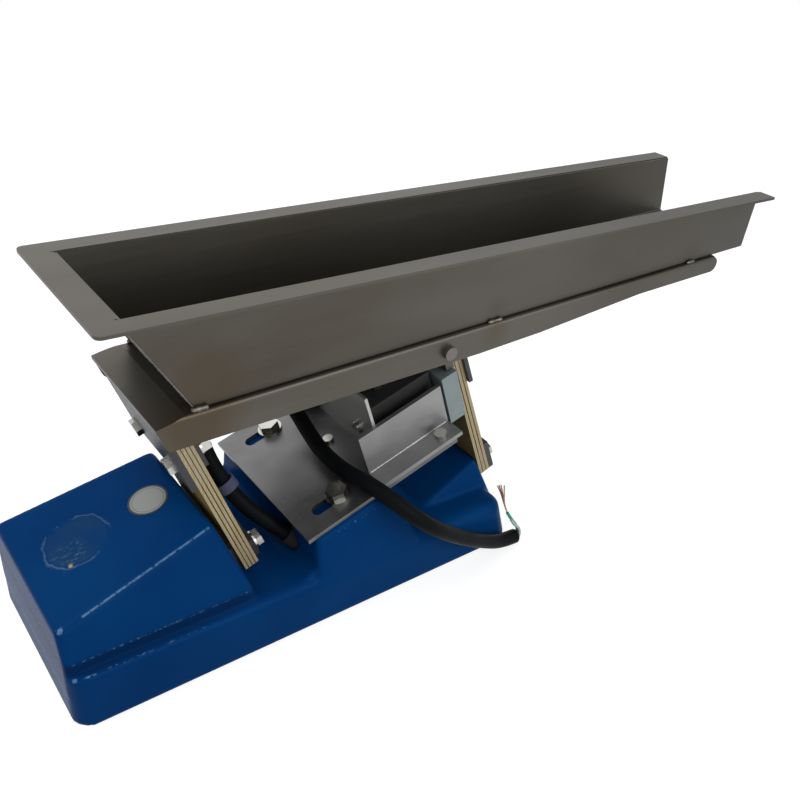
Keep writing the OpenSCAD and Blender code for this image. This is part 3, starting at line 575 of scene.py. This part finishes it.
def coil_mat():
    """Tape wound round the coil: overlapping turns and a dull gloss."""
    mat, tree, shader = new_mat("coil_tape")
    turns = tree.nodes.new("ShaderNodeTexWave")
    turns.wave_type = "BANDS"
    turns.bands_direction = "X"
    turns.wave_profile = "SAW"
    turns.inputs["Scale"].default_value = 60
    turns.inputs["Distortion"].default_value = 2.5
    turns.inputs["Detail"].default_value = 3
    turns.inputs["Detail Scale"].default_value = 2
    tree.links.new(coords(tree, turn=(0, PLATE_SLOPE, 0)), turns.inputs["Vector"])
    wave = turns.outputs["Fac"]
    colour = ramp(tree, wave, [(0.1, (0.006,) * 3), (0.8, (0.03,) * 3), (1, (0.012,) * 3)])
    set_surface(tree, shader, colour, rough=0.4)
    bump(tree, shader, wave, strength=0.7, distance=1.2 * MM)
    return mat


def label_mat():
    """A round sticker with plain rings and no wording."""
    mat, tree, shader = new_mat("sticker")
    low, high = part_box("inspection_label")
    flat = tree.nodes.new("ShaderNodeMapping")
    flat.vector_type = "TEXTURE"
    flat.inputs["Location"].default_value = (Vector(low) + Vector(high)) / 2
    flat.inputs["Rotation"].default_value = (0, -BLOCK_SLOPE, 0)
    tree.links.new(object_place(tree), flat.inputs["Vector"])
    across = vector_node(tree, "MULTIPLY", flat.outputs["Vector"], (1, 1, 0)).outputs["Vector"]
    away = vector_node(tree, "LENGTH", across).outputs["Value"]
    colour = ramp(tree, remap(tree, away, 0.0, LABEL_RADIUS), RINGS)
    set_surface(tree, shader, colour, rough=0.3)
    shader.inputs["Metallic"].default_value = 0.2
    return mat


mat_blue = blue_paint()
mat_leaf = leaf_mat()
mat_rubber = rubber("cable_rubber")
mat_grommet = rubber("grommet_rubber", (0.02, 0.02, 0.02), rough=0.55)
mat_sleeve = rubber("sleeve_plastic", (0.05, 0.056, 0.09), rough=0.5)
mat_green = rubber("core_green", (0.04, 0.30, 0.17), rough=0.4)
mat_pale = rubber("core_pale", (0.35, 0.40, 0.36), rough=0.4)
mat_copper = plain_metal("copper_strand", (0.35, 0.15, 0.10), metallic=0.6, rough=0.4)
mat_coil = coil_mat()
mat_label = label_mat()

# ---------- Which piece wears what ----------

LOOKS = {
    mat_tray: ["tray_trough", "tray_rear_end"],
    mat_carrier: ["carrier", "front_seat_bar"],
    mat_steel: ["base_clamp_bolts", "base_clamp_washers", "rear_upper_bolts", "rear_upper_nuts",
                "front_upper_bolts", "carrier_washers", "plate_bolts", "plate_washers",
                "angle_screws", "back_screws", "small_screw"],
    mat_dull: ["carrier_side_bolts"],
    mat_dark: ["rear_seat_spacer", "rear_lip", "front_cross_plate", "rear_lower_shims",
               "rear_upper_shims", "front_lower_shims", "front_upper_shims", "rear_lower_clamp",
               "rear_upper_clamp", "front_lower_clamp", "armature_wedge"],
    mat_plate: ["magnet_plate"],
    mat_alu: ["near_magnet_angle", "far_magnet_angle"],
    mat_back: ["magnet_back_plate"],
    mat_zinc: ["armature"],
    mat_core: ["magnet_core"],
    mat_coil: ["coil"],
    mat_grommet: ["lead_grommet"],
    mat_sleeve: ["cord_sleeve"],
    mat_label: ["inspection_label"],
}


def paint(obj, mat):
    obj.data.materials.clear()
    obj.data.materials.append(mat)


for mat, names in LOOKS.items():
    for name in names:
        paint(nodes[name], mat)
paint(cord, mat_rubber)
paint(green, mat_green)
paint(pale, mat_pale)
for strand in copper:
    paint(strand, mat_copper)

# ---------- Base casting ----------

CAST_GRAIN = 1.4 * MM   # the size of the casting's mesh, which sets how round its edges get
CAST_SMOOTHING = 0.5
CAST_SMOOTH_TURNS = 4


def apply_modifiers(obj):
    shaped = obj.evaluated_get(bpy.context.evaluated_depsgraph_get())
    mesh = bpy.data.meshes.new_from_object(shaped)
    old = obj.data
    obj.modifiers.clear()
    obj.data = mesh
    bpy.data.meshes.remove(old)


def copy_node(name, new_name):
    obj = bpy.data.objects.new(new_name, nodes[name].data.copy())
    scene.collection.objects.link(obj)
    return obj


def cast_base():
    """The casting with every edge softened, as sand casting and paint leave it."""
    obj = copy_node("base_casting", "cast_base")
    remesh = obj.modifiers.new("remesh", "REMESH")
    remesh.mode = "VOXEL"
    remesh.voxel_size = CAST_GRAIN
    smooth = obj.modifiers.new("smooth", "SMOOTH")
    smooth.factor = CAST_SMOOTHING
    smooth.iterations = CAST_SMOOTH_TURNS
    apply_modifiers(obj)
    for face in obj.data.polygons:
        face.use_smooth = True
    for vertex in obj.data.vertices:
        vertex.co.z = max(0.0, vertex.co.z)     # nothing sinks below the floor
    paint(obj, mat_blue)
    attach(obj, "base")
    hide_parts("base_casting")


cast_base()

# ---------- Leaf springs ----------

LEAF_FOOT_Z = 0.06
REAR_LEAF_X = -0.0434
FRONT_LEAF_X = 0.1464
LEAF_CUTS = 15
CUT_START, CUT_STEP = -8, 6     # mm along the leaf


def bent_leaf(name, foot_x):
    """A leaf cut across its length into short slices."""
    obj = copy_node(name, name + "_blade")
    up = Vector((-math.sin(SPRING_TILT), 0, math.cos(SPRING_TILT)))
    foot = Vector((foot_x, 0, LEAF_FOOT_Z))
    bm = bmesh.new()
    bm.from_mesh(obj.data)
    for k in range(1, LEAF_CUTS + 1):
        cut = (CUT_START + k * CUT_STEP) * MM
        bmesh.ops.bisect_plane(bm, geom=bm.verts[:] + bm.edges[:] + bm.faces[:],
                               plane_co=foot + up * cut, plane_no=up)
    bm.to_mesh(obj.data)
    bm.free()
    paint(obj, mat_leaf)
    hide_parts(name)
    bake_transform(obj)


for i in range(1, 5):
    bent_leaf("rear_leaf_%d" % i, REAR_LEAF_X)
for i in range(1, 4):
    bent_leaf("front_leaf_%d" % i, FRONT_LEAF_X)

# ---------- Softened edges on the carried-over metal ----------

# The width of the softened edge in mm, and the nodes that have it.
SOFT_EDGES = {
    0.35: ["tray_trough", "tray_rear_end", "carrier", "plate_bolts", "rear_upper_bolts",
           "base_clamp_bolts", "rear_upper_nuts", "plate_washers"],
    0.4: ["magnet_plate", "near_magnet_angle", "far_magnet_angle", "armature", "magnet_core", "coil"],
}
SHARP_ANGLE = math.radians(35)

for width, names in SOFT_EDGES.items():
    for name in names:
        bevel = nodes[name].modifiers.new("edge", "BEVEL")
        bevel.width = width * MM
        bevel.segments = 2
        bevel.limit_method = "ANGLE"
        bevel.angle_limit = SHARP_ANGLE

# ---------- Weld beads ----------

RIPPLE_STEP = 1.2 * MM
FEWEST_RIPPLES = 6
RIPPLE_PACE = 0.9               # how fast the thickness changes from ripple to ripple
END_THICKNESS = 0.45            # a bead's first and last point, as a share of its radius
END_GROWTH = 0.5                # what each point further in adds, up to the full radius


def weld(name, start, end, radius, uneven):
    """A bead from start to end, all in mm, with thin ends and an uneven thickness."""
    a, b = Vector(start) * MM, Vector(end) * MM
    steps = max(FEWEST_RIPPLES, int((b - a).length / RIPPLE_STEP))
    obj = tube(name, [a.lerp(b, k / steps) for k in range(steps + 1)], radius * MM, "drive")
    for k, q in enumerate(obj.data.splines[0].points):
        taper = min(1.0, END_THICKNESS + END_GROWTH * min(k, steps - k))
        q.radius *= taper * (1 + uneven * noise.noise(Vector((k * RIPPLE_PACE, radius, start[0]))))
    paint(obj, mat_weld)


for side, mark in ((-1, "near"), (1, "far")):
    weld("weld_rear_" + mark, (-67, side * 43.4, 171.6), (-57, side * 43.6, 171.4), 1.8, 0.5)
    weld("weld_middle_" + mark, (139, side * 43.6, 171.2), (151, side * 43.6, 171.2), 1.4, 0.5)
    weld("weld_front_" + mark, (334, side * 43.6, 171.2), (343, side * 43.6, 171.2), 1.2, 0.5)
    weld("weld_corner_" + mark, (-101.6, side * 46.6, 233), (-65.2, side * 42.6, 172.4), 0.7, 0.35)

# ---------- Painted highlight along the fold of the near magnet angle ---

# In mm, on the sloping plate: along it, across it and out of it.
FOLD_START, FOLD_STEP, FOLD_POINTS = 75, 0.8, 79
FOLD_Y = -46.1
FOLD_HEIGHT = 67.3
FOLD_RADIUS = 0.34
FOLD_UNEVEN = 0.9
FOLD_PACE = 0.8


def fold_highlight_tube():
    lie = Matrix.Rotation(-PLATE_SLOPE, 3, "Y")
    points = [lie @ Vector((FOLD_START + FOLD_STEP * k, FOLD_Y, FOLD_HEIGHT)) * MM
              for k in range(FOLD_POINTS)]
    # a thin bright tube along the fold: painted highlight
    obj = tube("angle_fold_highlight", points, FOLD_RADIUS * MM, "base")
    for k, q in enumerate(obj.data.splines[0].points):
        q.radius *= 1 + FOLD_UNEVEN * noise.noise(Vector((k * FOLD_PACE, 0, 3)))
    paint(obj, mat_fold_highlight)


fold_highlight_tube()

# ---------- Floor, background and lamps ----------

FLOOR_HALF = 1.3
FLOOR_GREY = (0.45, 0.45, 0.45, 1)
FLOOR_GLOW = 0.75
ROOM_COLOUR = (0.5, 0.52, 0.55, 1)
ROOM_STRENGTH = 0.9

# Name, place and target in metres, width and length in metres, and power in watts.
LAMPS = [
    ("key", (-0.9, 0.4, 1.7), (0, 0, 0.1), (1.4, 1.4), 16),
    ("fill", (0.5, -1.7, 0.9), (0.05, 0, 0.1), (1.6, 1.0), 18),
    ("back", (0.7, 1.6, 1.5), (0.1, 0, 0.1), (1.6, 1.2), 4)]


def background_rays(tree):
    """1 for the rays that see the background: from the camera, in metal and through glass."""
    rays = tree.nodes.new("ShaderNodeLightPath").outputs
    seen = math_node(tree, "MAXIMUM", rays["Is Camera Ray"], rays["Is Glossy Ray"])
    return math_node(tree, "MAXIMUM", seen, rays["Is Transmission Ray"])


def mix_shaders(tree, share, first, second, output):
    """Feeds an output with the first shader, and by a share with the second."""
    node = tree.nodes.new("ShaderNodeMixShader")
    for socket, source in zip(node.inputs, (share, first, second)):
        tree.links.new(source, socket)
    tree.links.new(node.outputs[0], output.inputs["Surface"])


def floor():
    """A matt floor that takes shadows, and glows where it is seen, to look white."""
    mesh = bpy.data.meshes.new("floor")
    s = FLOOR_HALF
    mesh.from_pydata([(-s, -s, 0), (s, -s, 0), (s, s, 0), (-s, s, 0)], [], [(0, 1, 2, 3)])
    obj = bpy.data.objects.new("floor", mesh)
    scene.collection.objects.link(obj)
    mat, tree, shader = new_mat("floor_white")
    set_surface(tree, shader, FLOOR_GREY, rough=0.9)
    shader.inputs["Specular IOR Level"].default_value = 0.0
    glow = tree.nodes.new("ShaderNodeEmission")
    glow.inputs["Strength"].default_value = FLOOR_GLOW
    both = tree.nodes.new("ShaderNodeAddShader")
    tree.links.new(shader.outputs[0], both.inputs[0])
    tree.links.new(glow.outputs[0], both.inputs[1])
    mix_shaders(tree, background_rays(tree), shader.outputs[0], both.outputs[0],
                tree.nodes["Material Output"])
    mesh.materials.append(mat)


def world():
    """White where it is seen, and a soft grey light elsewhere."""
    studio = bpy.data.worlds.new("studio")
    scene.world = studio
    studio.use_nodes = True
    tree = studio.node_tree
    room = tree.nodes["Background"]
    room.inputs["Color"].default_value = ROOM_COLOUR
    room.inputs["Strength"].default_value = ROOM_STRENGTH
    white = tree.nodes.new("ShaderNodeBackground")
    white.inputs["Color"].default_value = (1, 1, 1, 1)
    mix_shaders(tree, background_rays(tree), room.outputs[0], white.outputs[0],
                tree.nodes["World Output"])


def area(name, place, target, size, power):
    """A rectangular lamp at a place, turned to its target."""
    lamp = bpy.data.lights.new(name, "AREA")
    lamp.shape = "RECTANGLE"
    lamp.size, lamp.size_y = size
    lamp.energy = power
    obj = bpy.data.objects.new(name, lamp)
    obj.location = place
    obj.rotation_euler = (Vector(target) - Vector(place)).to_track_quat("-Z", "Y").to_euler()
    scene.collection.objects.link(obj)


floor()
world()
for lamp in LAMPS:
    area(*lamp)
